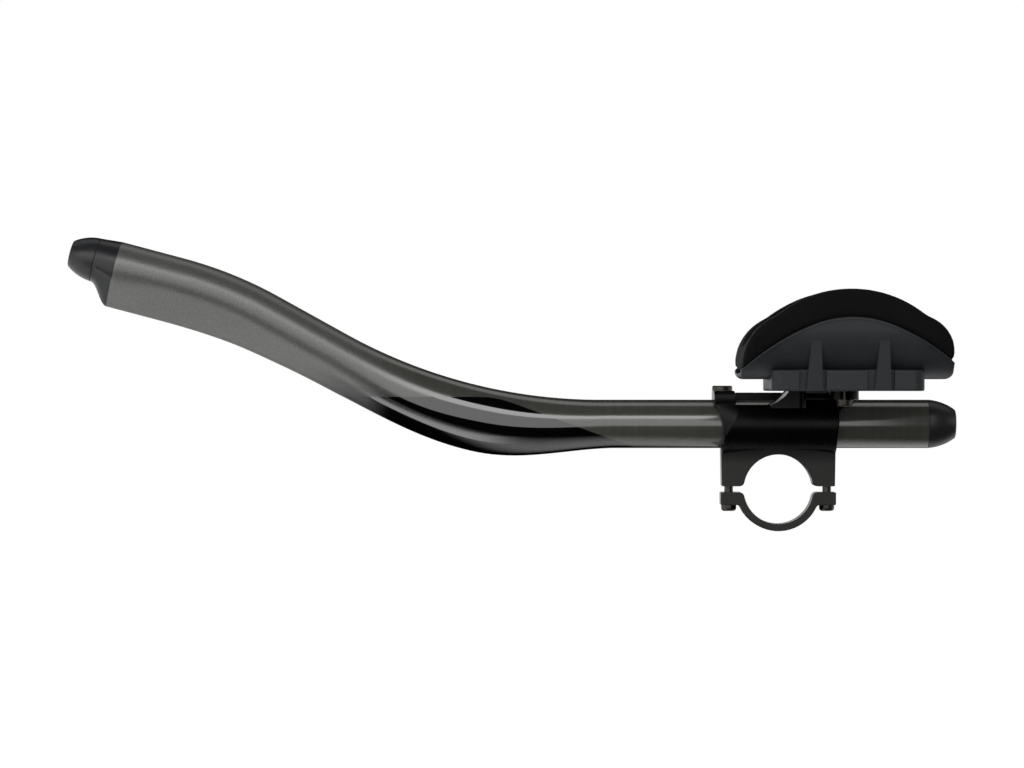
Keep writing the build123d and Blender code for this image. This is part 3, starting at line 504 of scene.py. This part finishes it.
def free_to_swell(place):
    """True where the foam faces the forearm or stands above the rim, and so has room."""
    in_trough = abs(place.y - ARMREST_Y) < TROUGH_HALF + PAD_VOXEL and place.z > TROUGH_FLOOR
    return in_trough or place.z > rim_height(place.x) + 2 * PAD_VOXEL


def swell(pad):
    """Blows the pad up a little as cloth, keeps the result and limits how far a point moves."""
    rest = [point.co.copy() for point in pad.data.vertices]
    cloth = pad.modifiers.new("swell", "CLOTH")
    cloth.settings.quality = 5
    cloth.settings.mass = 0.3
    cloth.settings.tension_stiffness = 15
    cloth.settings.compression_stiffness = 15
    cloth.settings.shear_stiffness = 5
    cloth.settings.bending_stiffness = 2
    cloth.settings.use_pressure = True
    cloth.settings.uniform_pressure_force = 4
    cloth.settings.effector_weights.gravity = 0
    cloth.collision_settings.use_collision = False
    cloth.point_cache.frame_start = 1
    cloth.point_cache.frame_end = SWELL_FRAMES
    for count in range(1, SWELL_FRAMES + 1):
        bpy.context.scene.frame_set(count)
    apply_modifier(pad, cloth)
    for point, start in zip(pad.data.vertices, rest):
        move = point.co - start
        if not free_to_swell(start):
            move = Vector((0, 0, 0))
        elif move.length > SWELL_LIMIT:
            move.length = SWELL_LIMIT
        point.co = start + move
    bpy.context.scene.frame_set(1)


def soften(pad, factor, rounds):
    """Rounds the edges of the pad by smoothing."""
    smooth = pad.modifiers.new("soften", "SMOOTH")
    smooth.factor = factor
    smooth.iterations = rounds
    apply_modifier(pad, smooth)


def make_pad():
    """The foam pad: a remeshed copy of the CAD pad, rounded, swollen and smoothed."""
    deselect_all()
    pad = bpy.data.objects.new("foam_pad", nodes["armrest_pad"].data.copy())
    bpy.context.scene.collection.objects.link(pad)
    pick(pad)
    bpy.ops.object.mode_set(mode="EDIT")
    bpy.ops.mesh.select_all(action="SELECT")
    bpy.ops.mesh.remove_doubles(threshold=0.00002)
    bpy.ops.object.mode_set(mode="OBJECT")
    skin = pad.modifiers.new("skin", "REMESH")
    skin.mode = "VOXEL"
    skin.voxel_size = PAD_VOXEL
    apply_modifier(pad, skin)
    soften(pad, 0.5, 4)
    swell(pad)
    soften(pad, 0.5, 2)
    bpy.ops.object.shade_smooth()
    pad.data.materials.clear()
    pad.data.materials.append(FINISHES["pad_foam"])
    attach(pad, "root")
    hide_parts("armrest_pad")


# Studio
def shine_through(name, near, far, colour):
    """A pale stage surface that camera, glossy and transmission rays see as white, but for its shadows."""
    material = bpy.data.materials.new(name)
    material.use_nodes = True
    tree = material.node_tree
    tree.nodes.clear()
    path = add_node(tree, "ShaderNodeLightPath")
    seen = sums(tree, "MAXIMUM", path.outputs["Is Camera Ray"], path.outputs["Is Glossy Ray"])
    seen = sums(tree, "MAXIMUM", seen, path.outputs["Is Transmission Ray"])
    length = add_node(tree, "ShaderNodeVectorMath", {"operation": "LENGTH"})
    tree.links.new(object_place(tree), length.inputs[0])
    strength = spread(tree, length.outputs["Value"], 0.35, 0.75, near, far, True)
    matt = add_node(tree, "ShaderNodeBsdfDiffuse", {}, {"Color": colour})
    glow = add_node(tree, "ShaderNodeEmission", {}, {"Color": WHITE})
    tree.links.new(sums(tree, "MULTIPLY", seen, strength), glow.inputs["Strength"])
    both = add_node(tree, "ShaderNodeAddShader")
    tree.links.new(matt.outputs[0], both.inputs[0])
    tree.links.new(glow.outputs[0], both.inputs[1])
    out = add_node(tree, "ShaderNodeOutputMaterial")
    tree.links.new(both.outputs[0], out.inputs["Surface"])
    return material


def make_floor():
    """The pale floor under the unit."""
    deselect_all()
    bpy.ops.mesh.primitive_plane_add(size=2 * FLOOR_HALF, location=(0, 0, FLOOR_Z))
    floor = bpy.context.object
    floor.name = "studio_floor"
    bpy.ops.object.transform_apply(location=True)
    floor.data.materials.append(shine_through("floor_white", 0.55, 1.0, (0.8, 0.8, 0.8, 1)))


def feather(tree, shader, solid, clear_from, slant, end_solid, end_clear):
    """Fades a card from solid to clear along a line turned from Y by a slant, and at one end along X."""
    axes = add_node(tree, "ShaderNodeSeparateXYZ")
    tree.links.new(object_place(tree), axes.inputs[0])
    across = sums(tree, "MULTIPLY_ADD", axes.outputs["X"], slant, axes.outputs["Y"])
    clear = add_node(tree, "ShaderNodeBsdfTransparent")
    mix = add_node(tree, "ShaderNodeMixShader")
    edge = spread(tree, across, solid, clear_from, 0.0, 1.0, True)
    end = spread(tree, axes.outputs["X"], end_solid, end_clear, 0.0, 1.0, True)
    tree.links.new(sums(tree, "MAXIMUM", edge, end), mix.inputs[0])
    tree.links.new(shader.outputs[0], mix.inputs[1])
    tree.links.new(clear.outputs[0], mix.inputs[2])
    tree.links.new(mix.outputs[0], tree.nodes["Material Output"].inputs["Surface"])


def make_card(name, size, place, facing, fade=None, glow=0.0):
    """A black or glowing card that only reflections see, feathered if asked."""
    deselect_all()
    bpy.ops.mesh.primitive_plane_add(size=1, location=place, rotation=facing)
    card = bpy.context.object
    card.name = name
    card.scale = (size[0], size[1], 1)
    bpy.ops.object.transform_apply(location=True, rotation=True, scale=True)
    material, tree, shader = finish_base(name)
    shader.inputs["Base Color"].default_value = BLACK
    shader.inputs["Specular IOR Level"].default_value = 0.0
    shader.inputs["Emission Color"].default_value = WHITE
    shader.inputs["Emission Strength"].default_value = glow
    if fade:
        feather(tree, shader, *fade)
    card.data.materials.append(material)
    card.visible_camera = False
    card.visible_diffuse = False
    card.visible_shadow = False


def make_world():
    """A white surround for what is seen, and a weak fill for the rest."""
    world = bpy.data.worlds.new("studio")
    bpy.context.scene.world = world
    world.use_nodes = True
    tree = world.node_tree
    tree.nodes.clear()
    path = add_node(tree, "ShaderNodeLightPath")
    seen = sums(tree, "MAXIMUM", path.outputs["Is Camera Ray"], path.outputs["Is Glossy Ray"])
    seen = sums(tree, "MAXIMUM", seen, path.outputs["Is Transmission Ray"])
    strength = sums(tree, "MULTIPLY_ADD", seen, 0.8, 0.2)
    back = add_node(tree, "ShaderNodeBackground", {}, {"Color": WHITE})
    tree.links.new(strength, back.inputs["Strength"])
    out = add_node(tree, "ShaderNodeOutputWorld")
    tree.links.new(back.outputs[0], out.inputs["Surface"])


def make_softbox(name, size, place, target, radiance):
    """A rectangular lamp of a given radiance that faces a point."""
    lamp = bpy.data.lights.new(name, "AREA")
    lamp.shape = "RECTANGLE"
    lamp.size, lamp.size_y = size
    lamp.energy = radiance * math.pi * size[0] * size[1]
    box = bpy.data.objects.new(name, lamp)
    bpy.context.scene.collection.objects.link(box)
    box.location = place
    box.rotation_mode = "QUATERNION"
    box.rotation_quaternion = (Vector(target) - Vector(place)).to_track_quat("-Z", "Y")
    box.visible_camera = False


def make_camera():
    """The camera at the photograph's place."""
    lens = bpy.data.cameras.new("side_view")
    lens.sensor_width = SENSOR_WIDTH
    lens.lens = FOCAL_PIXELS * SENSOR_WIDTH / IMAGE_WIDTH
    camera = bpy.data.objects.new("side_view", lens)
    bpy.context.scene.collection.objects.link(camera)
    camera.location = CAMERA_PLACE
    camera.rotation_euler = (math.radians(90), 0, 0)
    bpy.context.scene.camera = camera


def make_studio():
    """Floor, cards, surround and lamps."""
    make_floor()
    make_world()
    upright = (math.radians(90), 0, 0)
    make_card("card_front", (9, 6), (0, -2.6, 0.5), upright)
    make_card("card_top", (9, 6), (0, 0, 2.4), (0, 0, 0))
    make_card("card_back", (9, 2.6), (0, 2.6, 1.9), upright)
    level = (0, 0, 0)
    make_card("card_low", (9, 2.7), (0, -1.25, FLOOR_Z + 2 * CARD_LIFT), level, LOW_FADE)
    make_card("card_rear", (9, 2.6), (0, 0.9, FLOOR_Z + 3 * CARD_LIFT), level, REAR_FADE)
    strip_place = (-0.2475, -0.13, FLOOR_Z + 5 * CARD_LIFT)
    make_card("card_strip", (0.255, 0.14), strip_place, level, STRIP_FADE, STRIP_GLOW)
    make_softbox("softbox_front", (3.0, 1.16), (-0.9, -1.2, 0.42), (-0.9, 0, 0.42), 1.6)
    make_softbox("softbox_edge", (3.0, 0.4), (-0.9, -1.19, 0.8), (-0.9, 0, 0.8), 2.6)
    make_softbox("softbox_top", (3.5, 0.8), (-0.1, 0.55, 1.7), (-0.1, 0, 0.05), 0.9)


dress_nodes()
make_tube()
make_pad()
make_studio()
make_camera()
bpy.context.scene.view_settings.view_transform = "Standard"
